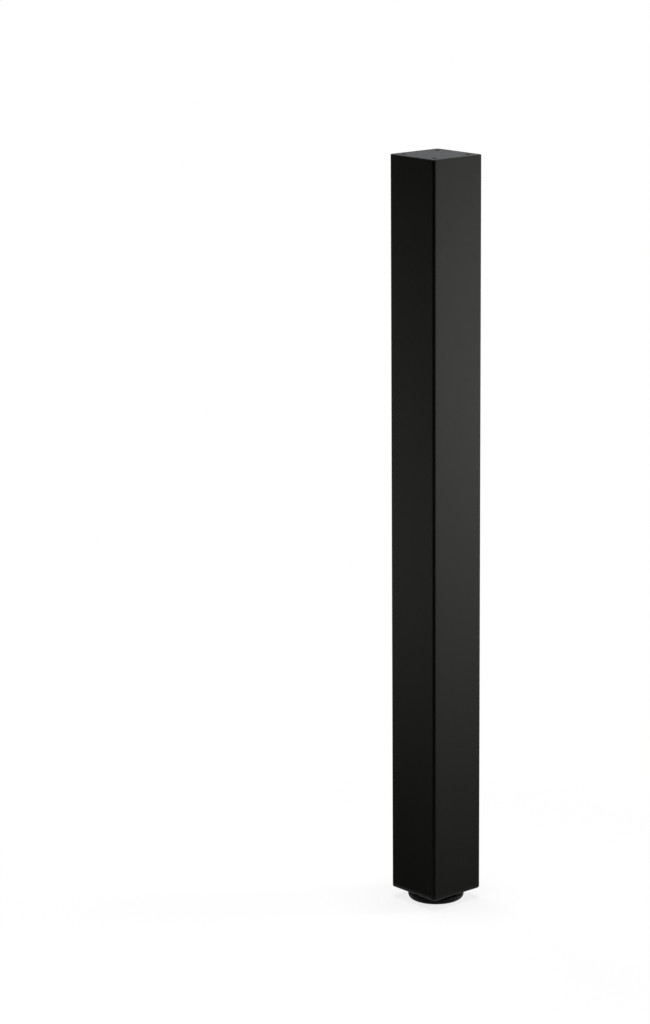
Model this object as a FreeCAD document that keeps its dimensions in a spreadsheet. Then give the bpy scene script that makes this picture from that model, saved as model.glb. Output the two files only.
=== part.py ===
import FreeCAD
import Part
import Sketcher
import math
import os
import re

# Square steel table leg with a levelling foot, in millimetres.
# The origin is on the floor under the leg's axis, +Z is up, and the four faces look along X and Y.
# The tube slides up over a mount plate with four wood screw holes and is clamped to it by two grub
# screws from its +Y face. A moulded plug closes the lower end and carries the levelling foot.

SIZES = (
    ("leg_height", 710, "floor to the plate's upper face, foot wound in"),
    ("tube_side", 60, "outside of the square tube"),
    ("tube_wall", 1.5, "wall of the tube"),
    ("tube_corner", 3, "outside corner radius of the tube"),
    ("tube_edge_break", 0.4, "rounding of the tube's upper outer edge"),
    ("plate_play", 0.3, "gap all round between plate and tube"),
    ("plate_thickness", 5, "flange of the mount plate"),
    ("plate_edge", 0.5, "rounding of the flange's upper edge"),
    ("plate_wall", 2.5, "skirt walls of the mount plate"),
    ("clamp_wall", 3.5, "skirt wall that the grub screws press on"),
    ("clamp_drop", 20, "plate's upper face down to the grub screws"),
    ("clamp_spacing", 26, "between the two grub screws"),
    ("skirt_below_clamp", 15, "skirt below the grub screws"),
    ("seat_depth", 1.5, "drilled seat for a grub screw's point"),
    ("seat_play", 0.25, "radial gap of the point in its seat"),
    ("wood_screw_hole", 5, "hole for a wood screw"),
    ("wood_screw_head", 9.4, "countersink for a wood screw"),
    ("head_to_wall", 0.5, "countersink to the skirt"),
    ("head_to_clamp", 0.8, "countersink to the clamp wall"),
    ("grub_thread", 8, "thread of the grub screws"),
    ("grub_recess", 0.5, "grub screw below the tube's face"),
    ("grub_point", 5.5, "dog point of the grub screw"),
    ("grub_socket", 4, "hexagon socket across flats"),
    ("grub_socket_depth", 5, "depth of the hexagon socket"),
    ("grub_chamfer", 0.8, "chamfer at both ends of the grub screw"),
    ("wall_hole_play", 0.5, "radial gap of a grub screw in the tube's wall"),
    ("nut_width", 13, "weld nut across flats"),
    ("nut_height", 6.5, "height of the weld nut"),
    ("thread_play", 0.06, "radial gap between thread crest and bore"),
    ("plug_flange", 4, "flange of the plug under the tube"),
    ("plug_edge", 2.4, "rounding of the flange's lower edge"),
    ("plug_depth", 36, "plug inside the tube"),
    ("plug_wall", 2.5, "wall of the plug's core"),
    ("fin_depth", 2.5, "how far the fins stand out of the core"),
    ("fin_thickness", 1.6, "thickness of a fin"),
    ("fin_count", 5, "number of fins"),
    ("fin_margin", 3, "flange to the first fin, and last fin to the top"),
    ("web_thickness", 2.4, "webs between hub and core"),
    ("hub_wall", 2, "hub beyond the bush's collar"),
    ("bush_body", 14, "body of the threaded bush"),
    ("bush_length", 24, "length of the threaded bush"),
    ("bush_collar", 20, "collar of the threaded bush"),
    ("bush_collar_height", 2.5, "height of that collar"),
    ("bush_recess", 0.5, "collar below the plug's underside"),
    ("collar_play", 0.1, "radial gap round the collar"),
    ("stud_thread", 10, "thread of the stud"),
    ("stud_length", 38, "thread above the hexagon"),
    ("stud_chamfer", 1, "chamfer at the stud's upper end"),
    ("hexagon_width", 17, "hexagon of the stud across flats"),
    ("hexagon_height", 4.5, "height of that hexagon"),
    ("rivet_head", 15, "riveted lower end of the stud"),
    ("rivet_thickness", 1.4, "thickness of the riveted end"),
    ("rivet_play", 0.1, "axial play of the base on the stud"),
    ("base_diameter", 53, "foot base"),
    ("base_thickness", 5, "height of the foot base"),
    ("base_lower_edge", 3.6, "rounding of the lower rim"),
    ("base_upper_edge", 0.6, "rounding of the upper rim"),
    ("base_floor", 2.4, "floor of the ribbed channel"),
    ("base_hub", 23, "hub under the hexagon"),
    ("base_rim", 3.2, "rim outside the ribbed channel"),
    ("base_rib", 1.8, "thickness of a rib"),
    ("base_rib_count", 12, "number of ribs"),
    ("base_recess", 17, "recess round the riveted end"),
    ("base_recess_depth", 2.5, "depth of that recess"),
    ("shank_play", 0.08, "radial running gap of the stud in the base"),
)

doc = FreeCAD.newDocument("square_table_leg")
sheet = doc.addObject("Spreadsheet::Sheet", "Sizes")
for row, (alias, value, meaning) in enumerate(SIZES, start=1):
    sheet.set("A%d" % row, alias)
    sheet.set("B%d" % row, str(value))
    sheet.setAlias("B%d" % row, alias)
    sheet.set("C%d" % row, meaning)
doc.recompute()
ALIASES = {alias for alias, value, meaning in SIZES}

# Places that several pieces share, as formulas of the sheet's sizes.
TUBE_HALF = "tube_side / 2"
INSIDE_HALF = "(tube_side / 2 - tube_wall)"
INSIDE_CORNER = "max(tube_corner - tube_wall; 0.2)"
PLATE_HALF = "(tube_side / 2 - tube_wall - plate_play)"
SCREW_OFFSET = "(%s - plate_wall - head_to_wall - wood_screw_head / 2)" % PLATE_HALF
CLAMP_FACE = "(%s - wood_screw_head / 2 - head_to_clamp)" % SCREW_OFFSET
CLAMP_HEIGHT = "(leg_height - clamp_drop)"
GRUB_LENGTH = "(tube_side / 2 - grub_recess - %s + seat_depth)" % CLAMP_FACE
HEXAGON_TOP = "(base_thickness + hexagon_height)"
PLUG_BOTTOM = "(%s - bush_recess)" % HEXAGON_TOP
TUBE_BOTTOM = "(%s + plug_flange)" % PLUG_BOTTOM
CORE_HALF = "(%s - fin_depth)" % INSIDE_HALF
HUB_HALF = "(bush_collar / 2 + hub_wall)"
COLLAR_TOP = "(%s + bush_collar_height)" % HEXAGON_TOP


def bind(thing, path, formula):
    """Tie a property to a formula of the sheet's sizes."""
    tied = re.sub(r"[a-z_]+", lambda m: "Sizes." + m[0] if m[0] in ALIASES else m[0], formula)
    thing.setExpression(path, tied)


def new_body(name):
    body = doc.addObject("PartDesign::Body", name)
    body.Label = name
    return body


def new_sketch(body, name, plane="XY_Plane", offset="0"):
    """Sketch on one of the body's own origin planes, moved along that plane's normal."""
    sketch = body.newObject("Sketcher::SketchObject", name)
    support = [feature for feature in body.Origin.OriginFeatures if feature.Role == plane]
    sketch.AttachmentSupport = [(support[0], "")]
    sketch.MapMode = "FlatFace"
    bind(sketch, "AttachmentOffset.Base.z", offset)
    return sketch


def tie(sketch, constraint, formula):
    index = sketch.addConstraint(constraint)
    bind(sketch, "Constraints[%d]" % index, formula)


def pin(sketch, curve, point, along, up):
    """Hold a point of a curve at two signed distances from the sketch's origin."""
    for kind, formula, axis in (("DistanceX", along, -2), ("DistanceY", up, -1)):
        if formula == "0":
            sketch.addConstraint(Sketcher.Constraint("PointOnObject", curve, point, axis))
        elif formula.startswith("-"):
            tie(sketch, Sketcher.Constraint(kind, curve, point, -1, 1, 1.0), formula[1:])
        else:
            tie(sketch, Sketcher.Constraint(kind, -1, 1, curve, point, 1.0), formula)


def draw_outline(sketch, corners):
    """Closed outline of straight lines through corners given as pairs of formulas."""
    turns = [2 * math.pi * n / len(corners) for n in range(len(corners))]
    starts = [FreeCAD.Vector(10 * math.cos(a), 10 * math.sin(a), 0) for a in turns]
    lines = [sketch.addGeometry(Part.LineSegment(starts[n - 1], starts[n])) for n in range(len(starts))]
    for n, line in enumerate(lines):
        sketch.addConstraint(Sketcher.Constraint("Coincident", lines[n - 1], 2, line, 1))
    for line, (along, up) in zip(lines, corners):
        pin(sketch, line, 1, along, up)


def draw_circle(sketch, along, up, diameter):
    circle = sketch.addGeometry(Part.Circle(FreeCAD.Vector(1, 1, 0), FreeCAD.Vector(0, 0, 1), 2))
    pin(sketch, circle, 3, along, up)
    tie(sketch, Sketcher.Constraint("Diameter", circle, 4.0), diameter)


def draw_hexagon(sketch, width):
    """Regular hexagon round the origin, two of its flats square to the first axis."""
    half = "(%s) / 2" % width
    short = "(%s) / 2 / sqrt(3)" % width
    long = "(%s) / sqrt(3)" % width
    draw_outline(sketch, [(half, "-" + short), (half, short), ("0", long),
                          ("-" + half, short), ("-" + half, "-" + short), ("0", "-" + long)])


def draw_square(sketch, half, radius):
    """Square of a half width round the origin, with rounded corners."""
    reach, bend = 10.0, 2.0
    flat = reach - bend
    lines, arcs = [], []
    for quarter in range(4):
        turn = FreeCAD.Rotation(FreeCAD.Vector(0, 0, 1), 90 * quarter)
        start = turn.multVec(FreeCAD.Vector(-flat, -reach, 0))
        end = turn.multVec(FreeCAD.Vector(flat, -reach, 0))
        centre = turn.multVec(FreeCAD.Vector(flat, -flat, 0))
        lines.append(sketch.addGeometry(Part.LineSegment(start, end)))
        circle = Part.Circle(centre, FreeCAD.Vector(0, 0, 1), bend)
        first = math.radians(90 * quarter - 90)
        arcs.append(sketch.addGeometry(Part.ArcOfCircle(circle, first, first + math.pi / 2)))
    for quarter in range(4):
        following = lines[(quarter + 1) % 4]
        sketch.addConstraint(Sketcher.Constraint("Tangent", lines[quarter], 2, arcs[quarter], 1))
        sketch.addConstraint(Sketcher.Constraint("Tangent", arcs[quarter], 2, following, 1))
        sketch.addConstraint(Sketcher.Constraint(("Horizontal", "Vertical")[quarter % 2], lines[quarter]))
    for arc in arcs[1:]:
        sketch.addConstraint(Sketcher.Constraint("Equal", arcs[0], arc))
    sketch.addConstraint(Sketcher.Constraint("Symmetric", lines[0], 1, lines[2], 1, -1, 1))
    tie(sketch, Sketcher.Constraint("DistanceX", lines[3], 1, lines[1], 1, 2 * reach), "2 * " + half)
    tie(sketch, Sketcher.Constraint("DistanceY", lines[0], 1, lines[2], 1, 2 * reach), "2 * " + half)
    tie(sketch, Sketcher.Constraint("Radius", arcs[0], bend), radius)


def pad(body, name, sketch, length):
    feature = body.newObject("PartDesign::Pad", name)
    feature.Profile = sketch
    bind(feature, "Length", length)
    doc.recompute()
    return feature


def pocket(body, name, sketch, length=None, reversed_way=False):
    """Cut against the sketch's normal, or along it if reversed; right through without a length."""
    feature = body.newObject("PartDesign::Pocket", name)
    feature.Profile = sketch
    feature.Reversed = reversed_way
    if length is None:
        feature.Type = "ThroughAll"
    else:
        bind(feature, "Length", length)
    doc.recompute()
    return feature


def turn(body, name, sketch, kind="Revolution"):
    """Turned shape, or turned cut, round the sketch's upright axis."""
    feature = body.newObject("PartDesign::" + kind, name)
    feature.Profile = sketch
    feature.ReferenceAxis = (sketch, ["V_Axis"])
    feature.Angle = 360
    doc.recompute()
    return feature


def fillet(body, name, base, wanted, radius):
    """Round the edges of a feature that the test picks."""
    edges = ["Edge%d" % n for n, edge in enumerate(base.Shape.Edges, start=1) if wanted(edge)]
    feature = body.newObject("PartDesign::Fillet", name)
    feature.Base = (base, edges)
    bind(feature, "Radius", radius)
    doc.recompute()
    return feature


def pair(name, body):
    """The body and its mirror image across the YZ plane, as one group of fasteners."""
    twin = doc.addObject("Part::Mirroring", name + "_twin")
    twin.Source = body
    twin.Normal = FreeCAD.Vector(1, 0, 0)
    group = doc.addObject("Part::Compound", name)
    group.Label = name
    group.Links = [body, twin]
    doc.recompute()
    return group


def face_inwards(body, depth):
    """Stand a fastener on the tube's +Y side, its own +Z pointing into the tube."""
    body.Placement.Rotation = FreeCAD.Rotation(FreeCAD.Vector(1, 0, 0), 90)
    bind(body, "Placement.Base.x", "clamp_spacing / 2")
    bind(body, "Placement.Base.y", depth)
    bind(body, "Placement.Base.z", CLAMP_HEIGHT)
    doc.recompute()


# Leg tube: drawn steel tube, its upper end deburred, two clearance holes in the +Y wall.
leg_tube = new_body("leg_tube")
section = new_sketch(leg_tube, "tube_section", offset=TUBE_BOTTOM)
draw_square(section, TUBE_HALF, "tube_corner")
draw_square(section, INSIDE_HALF, INSIDE_CORNER)
tube = pad(leg_tube, "tube_length", section, "leg_height - " + TUBE_BOTTOM)
top = tube.Shape.BoundBox.ZMax
reach = tube.Shape.BoundBox.XMax - sheet.tube_wall / 2
fillet(leg_tube, "tube_end", tube,
       lambda e: e.BoundBox.ZMin > top - 0.01 and max(abs(e.BoundBox.XMax), abs(e.BoundBox.XMin),
                                                      abs(e.BoundBox.YMax), abs(e.BoundBox.YMin)) > reach,
       "min(tube_edge_break; tube_wall / 2)")
holes = new_sketch(leg_tube, "clamp_holes", "XZ_Plane")
for side in ("", "-"):
    draw_circle(holes, side + "clamp_spacing / 2", CLAMP_HEIGHT, "grub_thread + 2 * wall_hole_play")
pocket(leg_tube, "clamp_hole_cut", holes)

# Mount plate: die-cast flange on a four-walled skirt. The wall on the +Y side stands back, which
# leaves room for the weld nuts and for a screwdriver on the outer wood screws.
mount_plate = new_body("mount_plate")
flange_plan = new_sketch(mount_plate, "flange_plan", offset="leg_height - plate_thickness")
draw_square(flange_plan, PLATE_HALF, INSIDE_CORNER)
flange = pad(mount_plate, "flange", flange_plan, "plate_thickness")
flange_top = flange.Shape.BoundBox.ZMax
fillet(mount_plate, "flange_upper_edge", flange, lambda e: e.BoundBox.ZMin > flange_top - 0.01,
       "min(plate_edge; plate_thickness / 4)")
skirt_plan = new_sketch(mount_plate, "skirt_plan", offset=CLAMP_HEIGHT + " - skirt_below_clamp")
draw_square(skirt_plan, PLATE_HALF, INSIDE_CORNER)
skirt_depth = "clamp_drop - plate_thickness + skirt_below_clamp"
pad(mount_plate, "skirt", skirt_plan, skirt_depth)
channel_plan = new_sketch(mount_plate, "channel_plan", offset=CLAMP_HEIGHT + " - skirt_below_clamp")
outside = PLATE_HALF + " + 1"
draw_outline(channel_plan, [("-(" + outside + ")", CLAMP_FACE), (outside, CLAMP_FACE),
                            (outside, outside), ("-(" + outside + ")", outside)])
pocket(mount_plate, "channel", channel_plan, skirt_depth, reversed_way=True)
hollow_plan = new_sketch(mount_plate, "hollow_plan", offset=CLAMP_HEIGHT + " - skirt_below_clamp")
hollow_half = "(%s - plate_wall)" % PLATE_HALF
hollow_back = "(%s - clamp_wall)" % CLAMP_FACE
draw_outline(hollow_plan, [("-" + hollow_half, "-" + hollow_half), (hollow_half, "-" + hollow_half),
                           (hollow_half, hollow_back), ("-" + hollow_half, hollow_back)])
pocket(mount_plate, "hollow", hollow_plan, skirt_depth, reversed_way=True)
seats = new_sketch(mount_plate, "clamp_seats", "XZ_Plane", "-" + CLAMP_FACE)
for side in ("", "-"):
    draw_circle(seats, side + "clamp_spacing / 2", CLAMP_HEIGHT, "grub_point + 2 * seat_play")
pocket(mount_plate, "clamp_seat_cut", seats, "seat_depth", reversed_way=True)
screws = new_sketch(mount_plate, "wood_screw_plan", offset="leg_height - plate_thickness")
for side in ("", "-"):
    for end in ("", "-"):
        draw_circle(screws, side + SCREW_OFFSET, end + SCREW_OFFSET, "wood_screw_hole")
doc.recompute()
hole = mount_plate.newObject("PartDesign::Hole", "wood_screw_holes")
hole.Profile = screws
hole.Reversed = True
hole.ThreadType = "None"
hole.DepthType = "ThroughAll"
bind(hole, "Diameter", "wood_screw_hole")
hole.HoleCutType = "Countersink"
hole.HoleCutCustomValues = True
bind(hole, "HoleCutDiameter", "wood_screw_head")
hole.HoleCutCountersinkAngle = 90
doc.recompute()

# Weld nuts: hexagonal nuts on the inside of the tube's +Y wall, behind the clearance holes.
weld_nut = new_body("weld_nut")
nut_plan = new_sketch(weld_nut, "nut_plan")
draw_hexagon(nut_plan, "nut_width")
draw_circle(nut_plan, "0", "0", "grub_thread + 2 * thread_play")
pad(weld_nut, "nut", nut_plan, "nut_height")
face_inwards(weld_nut, INSIDE_HALF)
weld_nuts = pair("weld_nuts", weld_nut)

# Grub screws: hexagon socket, chamfered thread ends, dog point in the seat of the plate.
grub_screw = new_body("grub_screw")
grub_profile = new_sketch(grub_screw, "grub_profile", "XZ_Plane")
grub_half = "grub_thread / 2"
draw_outline(grub_profile, [("0", "0"), (grub_half + " - grub_chamfer", "0"), (grub_half, "grub_chamfer"),
                            (grub_half, GRUB_LENGTH + " - seat_depth - grub_chamfer"),
                            ("grub_point / 2", GRUB_LENGTH + " - seat_depth"),
                            ("grub_point / 2", GRUB_LENGTH), ("0", GRUB_LENGTH)])
turn(grub_screw, "grub", grub_profile)
socket = new_sketch(grub_screw, "socket_plan")
draw_hexagon(socket, "grub_socket")
pocket(grub_screw, "socket", socket, "grub_socket_depth", reversed_way=True)
face_inwards(grub_screw, "tube_side / 2 - grub_recess")
grub_screws = pair("grub_screws", grub_screw)

# End plug: moulded insert. Its flange closes the tube's lower end, fins grip the tube's inside,
# and webs carry a central hub for the threaded bush.
end_plug = new_body("end_plug")
plug_plan = new_sketch(end_plug, "plug_plan", offset=PLUG_BOTTOM)
draw_square(plug_plan, TUBE_HALF, "tube_corner")
plug_flange = pad(end_plug, "plug_flange", plug_plan, "plug_flange")
plug_low = plug_flange.Shape.BoundBox.ZMin
fillet(end_plug, "plug_lower_edge", plug_flange, lambda e: e.BoundBox.ZMax < plug_low + 0.01,
       "min(plug_edge; 0.6 * plug_flange)")
core_plan = new_sketch(end_plug, "core_plan", offset=TUBE_BOTTOM)
draw_square(core_plan, CORE_HALF, INSIDE_CORNER)
pad(end_plug, "core", core_plan, "plug_depth")
fin_plan = new_sketch(end_plug, "fin_plan", offset=TUBE_BOTTOM + " + fin_margin")
draw_square(fin_plan, INSIDE_HALF, INSIDE_CORNER)
fin = pad(end_plug, "fin", fin_plan, "fin_thickness")
fins = end_plug.newObject("PartDesign::LinearPattern", "fins")
fins.Originals = [fin]
fins.Direction = (fin_plan, ["N_Axis"])
bind(fins, "Length", "plug_depth - 2 * fin_margin - fin_thickness")
bind(fins, "Occurrences", "fin_count")
end_plug.Tip = fins
doc.recompute()
core_hollow = new_sketch(end_plug, "core_hollow_plan", offset=TUBE_BOTTOM)
draw_square(core_hollow, "(%s - plug_wall)" % CORE_HALF, INSIDE_CORNER)
pocket(end_plug, "core_hollow", core_hollow, reversed_way=True)
hub_height = HEXAGON_TOP + " + bush_length - " + TUBE_BOTTOM
hub_plan = new_sketch(end_plug, "hub_plan", offset=TUBE_BOTTOM)
draw_circle(hub_plan, "0", "0", "2 * " + HUB_HALF)
pad(end_plug, "hub", hub_plan, hub_height)
web_long = "(%s - plug_wall / 2)" % CORE_HALF
web_half = "web_thickness / 2"
for name, along, across in (("web_x", web_long, web_half), ("web_y", web_half, web_long)):
    web_plan = new_sketch(end_plug, name + "_plan", offset=TUBE_BOTTOM)
    draw_outline(web_plan, [("-" + along, "-" + across), (along, "-" + across),
                            (along, across), ("-" + along, across)])
    pad(end_plug, name, web_plan, hub_height)
bush_bore = new_sketch(end_plug, "bush_bore_plan", offset=PLUG_BOTTOM)
draw_circle(bush_bore, "0", "0", "bush_body")
pocket(end_plug, "bush_bore", bush_bore, reversed_way=True)
collar_seat = new_sketch(end_plug, "collar_seat_plan", offset=PLUG_BOTTOM)
draw_circle(collar_seat, "0", "0", "bush_collar + 2 * collar_play")
pocket(end_plug, "collar_seat", collar_seat, "bush_recess + bush_collar_height", reversed_way=True)

# Threaded bush: turned steel, pressed into the hub from below until its collar seats.
thread_bush = new_body("thread_bush")
bush_profile = new_sketch(thread_bush, "bush_profile", "XZ_Plane")
bore_half = "(stud_thread / 2 + thread_play)"
draw_outline(bush_profile, [(bore_half, HEXAGON_TOP), ("bush_collar / 2", HEXAGON_TOP),
                            ("bush_collar / 2", COLLAR_TOP), ("bush_body / 2", COLLAR_TOP),
                            ("bush_body / 2", HEXAGON_TOP + " + bush_length"),
                            (bore_half, HEXAGON_TOP + " + bush_length")])
turn(thread_bush, "bush", bush_profile)

# Foot stud: threaded spindle with a hexagon for a spanner. The shank below the hexagon passes
# through the base and is riveted over, so that the base stays on it and can turn.
foot_stud = new_body("foot_stud")
stud_half = "stud_thread / 2"
stud_top = HEXAGON_TOP + " + stud_length"
rivet_top = "(base_recess_depth - rivet_play)"
stud_profile = new_sketch(foot_stud, "stud_profile", "XZ_Plane")
draw_outline(stud_profile, [("0", rivet_top + " - rivet_thickness"),
                            ("rivet_head / 2", rivet_top + " - rivet_thickness"),
                            ("rivet_head / 2", rivet_top), (stud_half, rivet_top),
                            (stud_half, stud_top + " - stud_chamfer"),
                            (stud_half + " - stud_chamfer", stud_top), ("0", stud_top)])
turn(foot_stud, "stud", stud_profile)
hexagon_plan = new_sketch(foot_stud, "hexagon_plan", offset="base_thickness")
draw_hexagon(hexagon_plan, "hexagon_width")
pad(foot_stud, "hexagon", hexagon_plan, "hexagon_height")
corner_reach = "(hexagon_width / sqrt(3) + 1)"
corner_drop = "(%s - 0.48 * hexagon_width) * 0.577" % corner_reach
corner_cut = new_sketch(foot_stud, "corner_cut", "XZ_Plane")
draw_outline(corner_cut, [("0.48 * hexagon_width", HEXAGON_TOP), (corner_reach, HEXAGON_TOP),
                          (corner_reach, HEXAGON_TOP + " - " + corner_drop)])
turn(foot_stud, "hexagon_corners", corner_cut, "Groove")

# Foot base: moulded disc. A ribbed channel on top keeps the walls even, the lower rim is rounded,
# and a recess underneath takes the riveted end of the stud.
foot_base = new_body("foot_base")
base_half = "base_diameter / 2"
channel_half = "(base_diameter / 2 - base_rim)"
shank_half = "(stud_thread / 2 + shank_play)"
base_profile = new_sketch(foot_base, "base_profile", "XZ_Plane")
draw_outline(base_profile, [("base_recess / 2", "0"), (base_half, "0"), (base_half, "base_thickness"),
                            (shank_half, "base_thickness"), (shank_half, "base_recess_depth"),
                            ("base_recess / 2", "base_recess_depth")])
disc = turn(foot_base, "disc", base_profile)
rim = disc.Shape.BoundBox.XMax
lower_rim = fillet(foot_base, "lower_rim", disc,
                   lambda e: e.BoundBox.ZMax < 0.01 and e.BoundBox.XMax > rim - 0.01,
                   "min(base_lower_edge; 0.85 * base_thickness)")
upper = disc.Shape.BoundBox.ZMax
fillet(foot_base, "upper_rim", lower_rim,
       lambda e: e.BoundBox.ZMin > upper - 0.01 and e.BoundBox.XMax > rim - 0.01,
       "min(base_upper_edge; 0.1 * base_thickness)")
channel_profile = new_sketch(foot_base, "channel_profile", "XZ_Plane")
draw_outline(channel_profile, [("base_hub / 2", "base_floor"), (channel_half, "base_floor"),
                               (channel_half, "base_thickness"), ("base_hub / 2", "base_thickness")])
turn(foot_base, "rib_channel", channel_profile, "Groove")
rib_plan = new_sketch(foot_base, "rib_plan", offset="base_floor")
rib_half = "base_rib / 2"
draw_outline(rib_plan, [("base_hub / 2 - 1", "-" + rib_half), (channel_half + " + 0.5", "-" + rib_half),
                        (channel_half + " + 0.5", rib_half), ("base_hub / 2 - 1", rib_half)])
rib = pad(foot_base, "rib", rib_plan, "base_thickness - base_floor")
ribs = foot_base.newObject("PartDesign::PolarPattern", "ribs")
ribs.Originals = [rib]
ribs.Axis = (rib_plan, ["N_Axis"])
ribs.Angle = 360
bind(ribs, "Occurrences", "base_rib_count")
foot_base.Tip = ribs
doc.recompute()

pieces = (leg_tube, mount_plate, weld_nuts, grub_screws, end_plug, thread_bush, foot_stud, foot_base)
for item in doc.Objects:
    if "Invalid" in item.State or "Error" in item.State:
        raise RuntimeError("%s could not be built: %s" % (item.Name, item.State))
for piece in pieces:
    if piece.Shape.isNull() or not piece.Shape.isValid():
        raise RuntimeError("%s has no valid shape" % piece.Label)

os.makedirs("parts", exist_ok=True)
for piece in pieces:
    piece.Shape.exportStep("parts/%s.step" % piece.Label)
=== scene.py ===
import bmesh
import bpy
import math
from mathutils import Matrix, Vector


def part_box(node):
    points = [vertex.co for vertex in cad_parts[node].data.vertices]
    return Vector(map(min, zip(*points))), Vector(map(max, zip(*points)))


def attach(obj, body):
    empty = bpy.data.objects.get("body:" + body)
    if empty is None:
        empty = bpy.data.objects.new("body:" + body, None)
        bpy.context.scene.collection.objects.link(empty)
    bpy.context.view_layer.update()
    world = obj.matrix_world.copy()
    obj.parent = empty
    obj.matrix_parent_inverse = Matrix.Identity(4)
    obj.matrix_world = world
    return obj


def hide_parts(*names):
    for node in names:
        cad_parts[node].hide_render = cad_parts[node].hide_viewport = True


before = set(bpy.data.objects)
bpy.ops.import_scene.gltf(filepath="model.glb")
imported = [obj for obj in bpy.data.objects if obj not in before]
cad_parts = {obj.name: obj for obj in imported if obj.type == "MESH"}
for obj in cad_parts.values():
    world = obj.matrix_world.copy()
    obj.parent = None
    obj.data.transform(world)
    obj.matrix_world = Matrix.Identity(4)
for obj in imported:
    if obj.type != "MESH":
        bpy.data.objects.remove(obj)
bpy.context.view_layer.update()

# Leg tube: a 60 mm square steel tube with small rounded corners, sawn to length and drilled on its
# inner side for the clamp screws. It is powder coated in matt black, sawn edges included.
MM = 0.001


def linear(hex_colour):
    """The linear colour that a shader takes for an sRGB hex value."""
    channels = [int(hex_colour[start:start + 2], 16) / 255 for start in (1, 3, 5)]
    return [c / 12.92 if c <= 0.04045 else ((c + 0.055) / 1.055) ** 2.4 for c in channels] + [1.0]


def add(tree, kind, inputs, **settings):
    """Add a node with its settings and give its outputs. An input is a value or an output to link."""
    node = tree.nodes.new("ShaderNode" + kind)
    for name, value in settings.items():
        setattr(node, name, value)
    for socket, value in inputs.items():
        if isinstance(value, bpy.types.NodeSocket):
            tree.links.new(value, node.inputs[socket])
        else:
            node.inputs[socket].default_value = value
    return node.outputs


def new_finish(name):
    """An empty node material and its node tree."""
    material = bpy.data.materials.new(name)
    material.use_nodes = True
    material.node_tree.nodes.clear()
    return material, material.node_tree


def dress(node_name, material):
    """Give a piece that is kept from the frame its finish."""
    for material_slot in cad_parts[node_name].material_slots:
        material_slot.material = material


# A colour mix's sockets have to be given by number, because others on the node share their names.
MIX_SHARE, MIX_FIRST, MIX_SECOND, MIX_RESULT = 0, 6, 7, 2

# Most of a noise pattern lies in this middle span, which is stretched to bring out a fine grain.
GRAIN_LOW, GRAIN_HIGH = 0.35, 0.65

# Powder coat: plastic powder sprayed on and baked. The eye gets an even, soft black with a broad
# dull shine, and close up a fine dry grain on a slow orange peel. The grain, about 0.2 mm, is
# drawn at 0.5 mm so that it shows. The coat's black follows the grain's height, with painted shade
# in its pits and painted light on its peaks. The shine is set low, because the white room mirrors in it.
COAT_BLACK_SHADED_PITS = "#2b2b29"
COAT_BLACK_LIT_PEAKS = "#3a3a38"
COAT_GRAIN_SIZE = 0.5 * MM
COAT_GRAIN_DEPTH = 0.03 * MM
COAT_PEEL_SIZE = 4.0 * MM
COAT_PEEL_DEPTH = 0.03 * MM
COAT_ROUGH_LOW = 0.52
COAT_ROUGH_HIGH = 0.60
COAT_SHINE = 0.005

powder_coat, tree = new_finish("matt_black_powder_coat")
place = add(tree, "TexCoord", {})["Object"]
grain = add(tree, "TexNoise", {"Vector": place, "Scale": 1 / COAT_GRAIN_SIZE, "Detail": 2.0})["Fac"]
grain = add(tree, "MapRange", {"Value": grain, "From Min": GRAIN_LOW, "From Max": GRAIN_HIGH})["Result"]
peel = add(tree, "TexNoise", {"Vector": place, "Scale": 1 / COAT_PEEL_SIZE, "Detail": 1.0})["Fac"]
# The coat's black, painted darker in the grain's pits and lighter on its peaks as painted shade and light.
tone = add(tree, "Mix", {
    MIX_SHARE: grain, MIX_FIRST: linear(COAT_BLACK_SHADED_PITS), MIX_SECOND: linear(COAT_BLACK_LIT_PEAKS),
}, data_type="RGBA")[MIX_RESULT]
dullness = add(tree, "MapRange", {
    "Value": peel, "To Min": COAT_ROUGH_LOW, "To Max": COAT_ROUGH_HIGH,
})["Result"]
waves = add(tree, "Bump", {"Height": peel, "Distance": COAT_PEEL_DEPTH})["Normal"]
dry_grain = add(tree, "Bump", {"Height": grain, "Distance": COAT_GRAIN_DEPTH, "Normal": waves})["Normal"]
coat = add(tree, "BsdfPrincipled", {
    "Base Color": tone,
    "Roughness": dullness,
    "Specular IOR Level": COAT_SHINE,
    "Normal": dry_grain,
})["BSDF"]
add(tree, "OutputMaterial", {"Surface": coat})
dress("leg_tube", powder_coat)

# Mount plate: a zinc pressure die casting with four countersunk screw holes. The tube slides over
# its skirt, and the clamp screws press on the skirt. It is black passivated to match the leg.

# Black passivated zinc: a thin conversion layer on cast metal. The eye gets a dark grey metal with
# little sheen, slow flow marks from the die and a fine sandy skin. The skin, about 0.1 mm, is
# drawn at 0.4 mm so that it shows.
CASTING_DARK = "#27282a"
CASTING_LIGHT = "#3d3e40"
CASTING_FLOW_SIZE = 9.0 * MM
CASTING_FLOW_LOW, CASTING_FLOW_HIGH = 0.30, 0.70
CASTING_SKIN_SIZE = 0.4 * MM
CASTING_SKIN_DEPTH = 0.02 * MM
CASTING_SKIN_SHARE = 0.4
CASTING_ROUGH_LOW = 0.60
CASTING_ROUGH_HIGH = 0.75
CASTING_METAL = 0.15
CASTING_SHINE = 0.1

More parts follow.
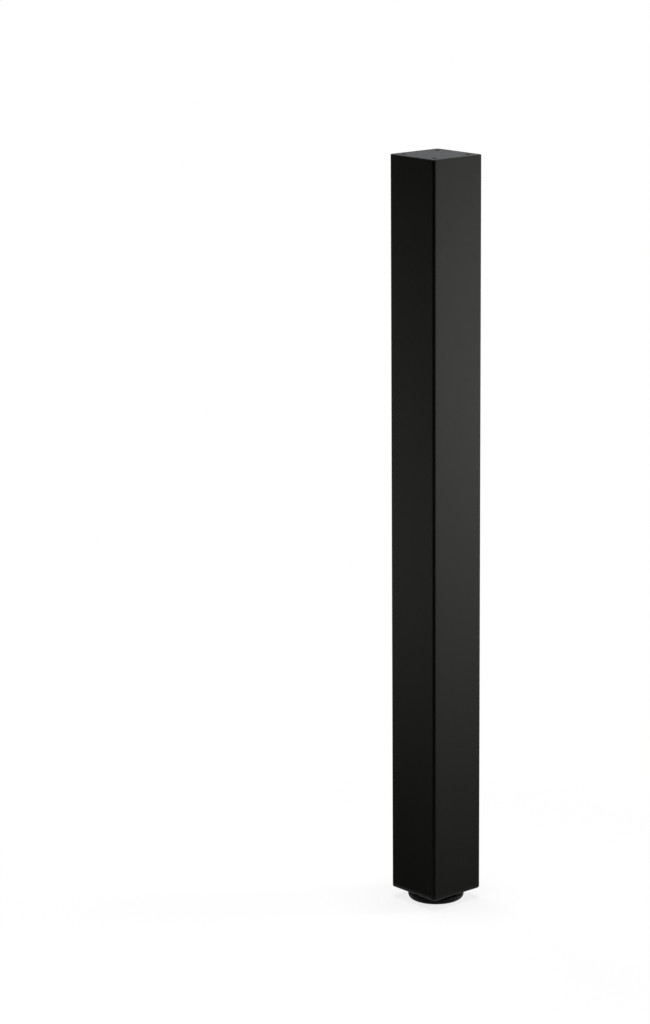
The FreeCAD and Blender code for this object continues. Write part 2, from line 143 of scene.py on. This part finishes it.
black_zinc, tree = new_finish("black_passivated_zinc_casting")
place = add(tree, "TexCoord", {})["Object"]
flow = add(tree, "TexNoise", {
    "Vector": place, "Scale": 1 / CASTING_FLOW_SIZE, "Detail": 4.0, "Distortion": 1.5,
})["Fac"]
skin = add(tree, "TexNoise", {"Vector": place, "Scale": 1 / CASTING_SKIN_SIZE, "Detail": 2.0})["Fac"]
skin = add(tree, "MapRange", {"Value": skin, "From Min": GRAIN_LOW, "From Max": GRAIN_HIGH})["Result"]
marks = add(tree, "MapRange", {
    "Value": flow, "From Min": CASTING_FLOW_LOW, "From Max": CASTING_FLOW_HIGH,
})["Result"]
marks = add(tree, "Mix", {"Factor": CASTING_SKIN_SHARE, "A": marks, "B": skin})["Result"]
tone = add(tree, "Mix", {
    MIX_SHARE: marks, MIX_FIRST: linear(CASTING_DARK), MIX_SECOND: linear(CASTING_LIGHT),
}, data_type="RGBA")[MIX_RESULT]
dullness = add(tree, "MapRange", {
    "Value": flow, "To Min": CASTING_ROUGH_LOW, "To Max": CASTING_ROUGH_HIGH,
})["Result"]
sandy = add(tree, "Bump", {"Height": skin, "Distance": CASTING_SKIN_DEPTH})["Normal"]
casting = add(tree, "BsdfPrincipled", {
    "Base Color": tone,
    "Metallic": CASTING_METAL,
    "Roughness": dullness,
    "Specular IOR Level": CASTING_SHINE,
    "Normal": sandy,
})["BSDF"]
add(tree, "OutputMaterial", {"Surface": casting})
dress("mount_plate", black_zinc)

# Weld nuts: two hexagon nuts welded inside the tube behind the clamp holes. They are welded in
# before coating, so they carry the tube's own powder coat.
dress("weld_nuts", powder_coat)

# Clamp screws: two M8 hexagon socket set screws with a dog point, driven through the tube wall into
# the weld nuts so that they press on the mount plate. Cold formed, thread rolled, black oxide.
SCREW_DIAMETER = 8.0 * MM
SCREW_PITCH = 1.25 * MM
SCREW_CHAMFER = 0.8 * MM
DOG_DIAMETER = 5.5 * MM
DOG_LENGTH = 4.0 * MM
DOG_EDGE = 0.4 * MM
DOG_STEP = 0.2 * MM
SOCKET_ACROSS = 4.0 * MM
SOCKET_DEPTH = 5.0 * MM
SOCKET_MOUTH_DIAMETER = 4.96 * MM
SOCKET_MOUTH_DEPTH = 0.4 * MM
SOCKET_POINT_DEPTH = 0.8 * MM

# How finely turned shapes are drawn: points round the axis, and rows along each turn of a thread.
RING_POINTS = 96
THREAD_STEPS = 12

# A metric thread in shares of its pitch: how deep it is cut, half the width of its flat crest, and
# where its flat root starts, from the middle of the crest.
THREAD_DEPTH_SHARE = 0.6134
CREST_HALF = 1 / 16
ROOT_START = 3 / 8


def ring(radius, height):
    """One closed row of points round the axis. Radius and height are numbers or follow the angle."""
    points = []
    for step in range(RING_POINTS):
        angle = math.tau * step / RING_POINTS
        r = radius(angle) if callable(radius) else radius
        h = height(angle) if callable(height) else height
        points.append(Vector((r * math.cos(angle), r * math.sin(angle), h)))
    return points


def hexagon(across):
    """Distance from the axis to a hexagon's side at each angle, with one side square to angle 0."""
    sixth = math.tau / 6
    return lambda angle: across / 2 / math.cos((angle + sixth / 2) % sixth - sixth / 2)


def thread_rings(bottom, top, diameter, pitch, limit):
    """Rows of a right-hand metric thread. limit(height) gives the largest radius at a height."""
    depth = THREAD_DEPTH_SHARE * pitch
    count = round((top - bottom) / pitch * THREAD_STEPS)

    def radius_at(height):
        def radius(angle):
            phase = (height / pitch - angle / math.tau) % 1
            from_crest = min(phase, 1 - phase)
            share = (from_crest - CREST_HALF) / (ROOT_START - CREST_HALF)
            return min(diameter / 2 - depth * min(max(share, 0), 1), limit(height))
        return radius

    heights = [bottom + (top - bottom) * step / count for step in range(count + 1)]
    return [ring(radius_at(height), height) for height in heights]


def skin_rings(mesh, rings, first, last, set_in_place):
    """Close rows of points into one skin, with a fan to a middle point at each end."""
    rows = [[mesh.verts.new(set_in_place(point)) for point in row] for row in rings]
    ends = [mesh.verts.new(set_in_place(Vector((0, 0, height)))) for height in (first, last)]
    for i in range(RING_POINTS):
        j = (i + 1) % RING_POINTS
        mesh.faces.new((ends[0], rows[0][j], rows[0][i]))
        mesh.faces.new((ends[1], rows[-1][i], rows[-1][j]))
        for low, high in zip(rows, rows[1:]):
            mesh.faces.new((low[i], low[j], high[j], high[i]))


def finished_piece(name, mesh, material, crease_degrees):
    """Turn a built mesh into a piece, smooth except along edges sharper than the crease angle."""
    data = bpy.data.meshes.new(name)
    mesh.to_mesh(data)
    mesh.free()
    data.materials.append(material)
    data.shade_smooth()
    data.set_sharp_from_angle(angle=math.radians(crease_degrees))
    piece = bpy.data.objects.new(name, data)
    bpy.context.scene.collection.objects.link(piece)
    return piece


# Black oxide steel: a thin black layer grown on the steel and oiled. The eye gets a deep blue-black
# metal with a low oily sheen, slightly browner in patches.
OXIDE_BLUE = "#26282b"
OXIDE_BROWN = "#332f2b"
OXIDE_PATCH_SIZE = 2.5 * MM
OXIDE_ROUGH_LOW = 0.28
OXIDE_ROUGH_HIGH = 0.45
OXIDE_METAL = 0.9

black_oxide, tree = new_finish("black_oxide_steel")
place = add(tree, "TexCoord", {})["Object"]
patches = add(tree, "TexNoise", {"Vector": place, "Scale": 1 / OXIDE_PATCH_SIZE, "Detail": 5.0})["Fac"]
tone = add(tree, "Mix", {
    MIX_SHARE: patches, MIX_FIRST: linear(OXIDE_BLUE), MIX_SECOND: linear(OXIDE_BROWN),
}, data_type="RGBA")[MIX_RESULT]
dullness = add(tree, "MapRange", {
    "Value": patches, "To Min": OXIDE_ROUGH_LOW, "To Max": OXIDE_ROUGH_HIGH,
})["Result"]
oxide = add(tree, "BsdfPrincipled", {
    "Base Color": tone,
    "Metallic": OXIDE_METAL,
    "Roughness": dullness,
})["BSDF"]
add(tree, "OutputMaterial", {"Surface": oxide})

screw_low, screw_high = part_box("grub_screws")
screw_length = screw_high.y - screw_low.y
screw_radius = SCREW_DIAMETER / 2
screw_x = screw_high.x - screw_radius
screw_z = (screw_low.z + screw_high.z) / 2
dog_radius = DOG_DIAMETER / 2
socket = hexagon(SOCKET_ACROSS)
socket_bottom = screw_length - SOCKET_DEPTH


def screw_limit(height):
    """Lead-in chamfers at the screw's two thread ends."""
    from_dog = dog_radius + DOG_STEP + (height - DOG_LENGTH)
    from_top = screw_radius - SCREW_CHAMFER + (screw_length - height)
    return min(from_dog, from_top)


rings = [ring(dog_radius - DOG_EDGE, 0), ring(dog_radius, DOG_EDGE), ring(dog_radius, DOG_LENGTH)]
rings += thread_rings(DOG_LENGTH, screw_length, SCREW_DIAMETER, SCREW_PITCH, screw_limit)
rings += [
    ring(SOCKET_MOUTH_DIAMETER / 2, screw_length),
    ring(socket, screw_length - SOCKET_MOUTH_DEPTH),
    ring(socket, socket_bottom),
]
mesh = bmesh.new()
for side in (-1, 1):
    skin_rings(
        mesh, rings, 0, socket_bottom - SOCKET_POINT_DEPTH,
        lambda p: Vector((side * screw_x + p.y, screw_low.y + p.z, screw_z + p.x)),
    )
clamp_screws = finished_piece("clamp_screws", mesh, black_oxide, crease_degrees=32)
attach(clamp_screws, "leg")
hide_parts("grub_screws")

# End plug: an injection moulding pushed into the tube's lower end. Its flange covers the sawn edge
# and its fins grip the wall. It carries the threaded bush for the levelling foot.

# Moulded polyamide: black nylon from a spark-eroded mould. The eye gets a deep neutral black with a
# satin skin. The eroded grain, about 0.1 mm, is drawn at 0.35 mm so that it shows.
NYLON_DARK = "#1e1e1d"
NYLON_LIGHT = "#272726"
NYLON_GRAIN_SIZE = 0.35 * MM
NYLON_GRAIN_DEPTH = 0.015 * MM
NYLON_FLOW_SIZE = 14.0 * MM
NYLON_ROUGH_LOW = 0.38
NYLON_ROUGH_HIGH = 0.50
NYLON_SHINE = 0.06

nylon, tree = new_finish("moulded_black_polyamide")
place = add(tree, "TexCoord", {})["Object"]
grain = add(tree, "TexNoise", {"Vector": place, "Scale": 1 / NYLON_GRAIN_SIZE, "Detail": 2.0})["Fac"]
grain = add(tree, "MapRange", {"Value": grain, "From Min": GRAIN_LOW, "From Max": GRAIN_HIGH})["Result"]
flow = add(tree, "TexNoise", {
    "Vector": place, "Scale": 1 / NYLON_FLOW_SIZE, "Detail": 3.0, "Distortion": 0.8,
})["Fac"]
tone = add(tree, "Mix", {
    MIX_SHARE: flow, MIX_FIRST: linear(NYLON_DARK), MIX_SECOND: linear(NYLON_LIGHT),
}, data_type="RGBA")[MIX_RESULT]
dullness = add(tree, "MapRange", {
    "Value": flow, "To Min": NYLON_ROUGH_LOW, "To Max": NYLON_ROUGH_HIGH,
})["Result"]
eroded = add(tree, "Bump", {"Height": grain, "Distance": NYLON_GRAIN_DEPTH})["Normal"]
moulding = add(tree, "BsdfPrincipled", {
    "Base Color": tone,
    "Roughness": dullness,
    "Specular IOR Level": NYLON_SHINE,
    "Normal": eroded,
})["BSDF"]
add(tree, "OutputMaterial", {"Surface": moulding})
dress("end_plug", nylon)

# Threaded bush: a turned steel insert with an M10 thread, pressed into the plug from below until
# its collar seats. It is zinc plated like the stud that screws into it.

# Zinc plating: bright electroplated zinc with a clear blue passivation. The eye gets a cool silver
# with a cloudy satin shine and a faint straw tint in places. Its crystals, far finer in the real
# plating, are drawn at 0.3 mm so that they break up the shine.
ZINC_COOL = "#c3c7cd"
ZINC_STRAW = "#cbc8bc"
ZINC_CLOUD_SIZE = 5.0 * MM
ZINC_CRYSTAL_SIZE = 0.3 * MM
ZINC_CRYSTAL_DEPTH = 0.003 * MM
ZINC_ROUGH_LOW = 0.24
ZINC_ROUGH_HIGH = 0.40

zinc_plate, tree = new_finish("zinc_plated_steel")
place = add(tree, "TexCoord", {})["Object"]
clouds = add(tree, "TexNoise", {"Vector": place, "Scale": 1 / ZINC_CLOUD_SIZE, "Detail": 4.0})["Fac"]
crystals = add(tree, "TexNoise", {"Vector": place, "Scale": 1 / ZINC_CRYSTAL_SIZE, "Detail": 2.0})["Fac"]
tone = add(tree, "Mix", {
    MIX_SHARE: clouds, MIX_FIRST: linear(ZINC_COOL), MIX_SECOND: linear(ZINC_STRAW),
}, data_type="RGBA")[MIX_RESULT]
dullness = add(tree, "MapRange", {
    "Value": clouds, "To Min": ZINC_ROUGH_LOW, "To Max": ZINC_ROUGH_HIGH,
})["Result"]
bloom = add(tree, "Bump", {"Height": crystals, "Distance": ZINC_CRYSTAL_DEPTH})["Normal"]
plating = add(tree, "BsdfPrincipled", {
    "Base Color": tone,
    "Metallic": 1.0,
    "Roughness": dullness,
    "Normal": bloom,
})["BSDF"]
add(tree, "OutputMaterial", {"Surface": plating})
dress("thread_bush", zinc_plate)

# Foot stud: a steel stud with an M10 x 1.5 right-hand rolled thread and a 17 mm hexagon for the
# spanner. Its lower end is spun over under the foot, so the foot stays on and the stud can turn.
STUD_DIAMETER = 10.0 * MM
STUD_PITCH = 1.5 * MM
STUD_CHAMFER = 1.0 * MM
NECK_DIAMETER = 8.0 * MM
NECK_LENGTH = 2.0 * MM
HEX_EDGE = 0.25 * MM
HEX_CHAMFER_SLOPE = math.tan(math.radians(30))
HEX_LOWER_SHARE = 0.5
SPUN_DIAMETER = 15.0 * MM
SPUN_TOP = 2.4 * MM
SPUN_DIMPLE = 0.6 * MM

# The spun end from below, in mm: its dimple as radius and height, and its rim as inset and height.
DIMPLE_ROWS = [(1.2, 0.45), (2.4, 0.08), (3.4, 0.0)]
RIM_ROWS = [(1.6, 0.12), (0.5, 0.42), (0.0, 0.9)]

stud_low, stud_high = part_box("foot_stud")
stud_radius = STUD_DIAMETER / 2
spun_radius = SPUN_DIAMETER / 2
hex_across = stud_high.x - stud_low.x
hex_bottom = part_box("foot_base")[1].z
hex_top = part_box("thread_bush")[0].z
flats = hexagon(hex_across)
crown_radius = hex_across / 2 - HEX_EDGE


def hex_chamfer(angle):
    """How far the hexagon's side is turned down at an angle. It is most at the corners."""
    return (flats(angle) - crown_radius) * HEX_CHAMFER_SLOPE


def stud_limit(height):
    """Undercut neck above the hexagon, and the chamfer at the stud's upper end."""
    from_neck = NECK_DIAMETER / 2 + max(0, height - hex_top - NECK_LENGTH)
    from_top = stud_radius - STUD_CHAMFER + (stud_high.z - height)
    return min(from_neck, from_top)


rings = [ring(radius * MM, stud_low.z + height * MM) for radius, height in DIMPLE_ROWS]
rings += [ring(spun_radius - inset * MM, stud_low.z + height * MM) for inset, height in RIM_ROWS]
rings += [
    ring(spun_radius, SPUN_TOP),
    ring(stud_radius, SPUN_TOP),
    ring(stud_radius, hex_bottom),
    ring(crown_radius, hex_bottom),
    ring(flats, lambda angle: hex_bottom + hex_chamfer(angle) * HEX_LOWER_SHARE),
    ring(flats, lambda angle: hex_top - hex_chamfer(angle)),
    ring(crown_radius, hex_top),
]
rings += thread_rings(hex_top, stud_high.z, STUD_DIAMETER, STUD_PITCH, stud_limit)
mesh = bmesh.new()
skin_rings(mesh, rings, stud_low.z + SPUN_DIMPLE, stud_high.z, lambda p: p)
levelling_stud = finished_piece("levelling_stud", mesh, zinc_plate, crease_degrees=28)
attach(levelling_stud, "stud")
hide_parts("foot_stud")

# Foot base: a moulded polyamide disc, 53 mm across, that stands on the floor and swivels on the
# stud. Ribs stiffen the channel on top, and the underside has a recess for the spun end.
dress("foot_base", nylon)

# Studio floor: a pale sheet under the foot that runs out of sight. It looks white, and near the leg
# part of its tone comes from the lamps, so the leg's soft shadow shows. It is clear from below.
FLOOR_DARK = "#f1f1ef"
FLOOR_LIGHT = "#f4f4f2"
FLOOR_FIBRE_SIZE = 30 * MM
FLOOR_HALF = 30.0
FLOOR_PANES = 8
FLOOR_DROP = 0.2 * MM
SHADOW_INNER = 50 * MM
SHADOW_OUTER = 450 * MM
SHADOW_SHARE = 0.18
WHITE = linear("#ffffff")


def looked_at(tree):
    """1 for a ray that sees this straight, in a shine or through glass, and 0 for any other."""
    rays = add(tree, "LightPath", {})
    seen = add(tree, "Math", {
        0: rays["Is Camera Ray"], 1: rays["Is Glossy Ray"],
    }, operation="MAXIMUM")["Value"]
    return add(tree, "Math", {0: seen, 1: rays["Is Transmission Ray"]}, operation="MAXIMUM")["Value"]


white_sheet, tree = new_finish("pale_floor_sheet")
place = add(tree, "TexCoord", {})["Object"]
reach = add(tree, "VectorMath", {0: place}, operation="LENGTH")["Value"]
fade = add(tree, "MapRange", {
    "Value": reach, "From Min": SHADOW_INNER, "From Max": SHADOW_OUTER,
    "To Min": 1 - SHADOW_SHARE, "To Max": 1.0,
}, interpolation_type="SMOOTHSTEP")["Result"]
fibres = add(tree, "TexNoise", {"Vector": place, "Scale": 1 / FLOOR_FIBRE_SIZE, "Detail": 2.0})["Fac"]
tone = add(tree, "Mix", {
    MIX_SHARE: fibres, MIX_FIRST: linear(FLOOR_DARK), MIX_SECOND: linear(FLOOR_LIGHT),
}, data_type="RGBA")[MIX_RESULT]
paper = add(tree, "BsdfDiffuse", {"Color": tone})["BSDF"]
glow = add(tree, "Emission", {"Color": WHITE, "Strength": looked_at(tree)})["Emission"]
sheet = add(tree, "MixShader", {0: fade, 1: paper, 2: glow})["Shader"]
underside = add(tree, "NewGeometry", {})["Backfacing"]
clear = add(tree, "BsdfTransparent", {})["BSDF"]
one_way = add(tree, "MixShader", {0: underside, 1: sheet, 2: clear})["Shader"]
add(tree, "OutputMaterial", {"Surface": one_way})

mesh = bmesh.new()
bmesh.ops.create_grid(mesh, x_segments=FLOOR_PANES, y_segments=FLOOR_PANES, size=FLOOR_HALF)
bmesh.ops.translate(mesh, verts=mesh.verts, vec=(0, 0, -FLOOR_DROP))
floor = finished_piece("studio_floor", mesh, white_sheet, crease_degrees=30)
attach(floor, "foot")

# Studio light: a white room for the eye, dimmer for the light it sheds. One soft box lights the
# right face, two graze the left face, one lights the back and one hangs over the floor.
ROOM_FILL = 0.02

room = bpy.data.worlds.new("studio_room")
room.use_nodes = True
tree = room.node_tree
tree.nodes.clear()
strength = add(tree, "MapRange", {"Value": looked_at(tree), "To Min": ROOM_FILL, "To Max": 1.0})["Result"]
walls = add(tree, "Background", {"Color": WHITE, "Strength": strength})["Background"]
add(tree, "OutputWorld", {"Surface": walls})
bpy.context.scene.world = room


def soft_box(name, place, aim_height, width, height, spread, watts):
    """A soft box aimed at the leg's axis, out of the camera's sight. A grid holds its beam to an angle."""
    lamp = bpy.data.lights.new(name, "AREA")
    lamp.shape = "RECTANGLE"
    lamp.size = width
    lamp.size_y = height
    lamp.spread = math.radians(spread)
    lamp.energy = watts
    box = bpy.data.objects.new(name, lamp)
    box.location = place
    box.rotation_euler = (Vector((0, 0, aim_height)) - Vector(place)).to_track_quat("-Z", "Y").to_euler()
    box.visible_camera = False
    bpy.context.scene.collection.objects.link(box)


soft_box(
    "right_box", place=(0.82, -0.57, 0.50), aim_height=0.50,
    width=0.30, height=0.30, spread=65, watts=3.0,
)
soft_box(
    "low_left_box", place=(-0.46, 0.655, 0.28), aim_height=0.28,
    width=0.25, height=0.20, spread=38, watts=0.178,
)
soft_box(
    "high_left_box", place=(-0.46, 0.655, 0.52), aim_height=0.52,
    width=0.25, height=0.20, spread=44, watts=0.178,
)
soft_box(
    "back_box", place=(0.12, 1.0, 0.48), aim_height=0.48,
    width=0.30, height=0.30, spread=66, watts=1.5,
)
soft_box(
    "top_box", place=(0.0, 0.0, 3.0), aim_height=0.0,
    width=0.4, height=0.4, spread=180, watts=85,
)

# Camera: a long lens a little above the leg's top, looking at its outer corner. It is shifted
# sideways because the leg stands right of the picture's middle.
CAMERA_PLACE = (-2.0732, -2.2538, 1.0987)
CAMERA_PITCH = 13.267
CAMERA_AZIMUTH = -42.61
CAMERA_LENS = 119.03
CAMERA_SHIFT = -0.10833
CAMERA_REACH = 100

lens = bpy.data.cameras.new("studio_camera")
lens.lens = CAMERA_LENS
lens.shift_x = CAMERA_SHIFT
lens.clip_end = CAMERA_REACH
camera = bpy.data.objects.new("studio_camera", lens)
camera.location = CAMERA_PLACE
camera.rotation_euler = (math.radians(90 - CAMERA_PITCH), 0, math.radians(CAMERA_AZIMUTH))
bpy.context.scene.collection.objects.link(camera)
bpy.context.scene.camera = camera
bpy.context.scene.view_settings.view_transform = "Standard"
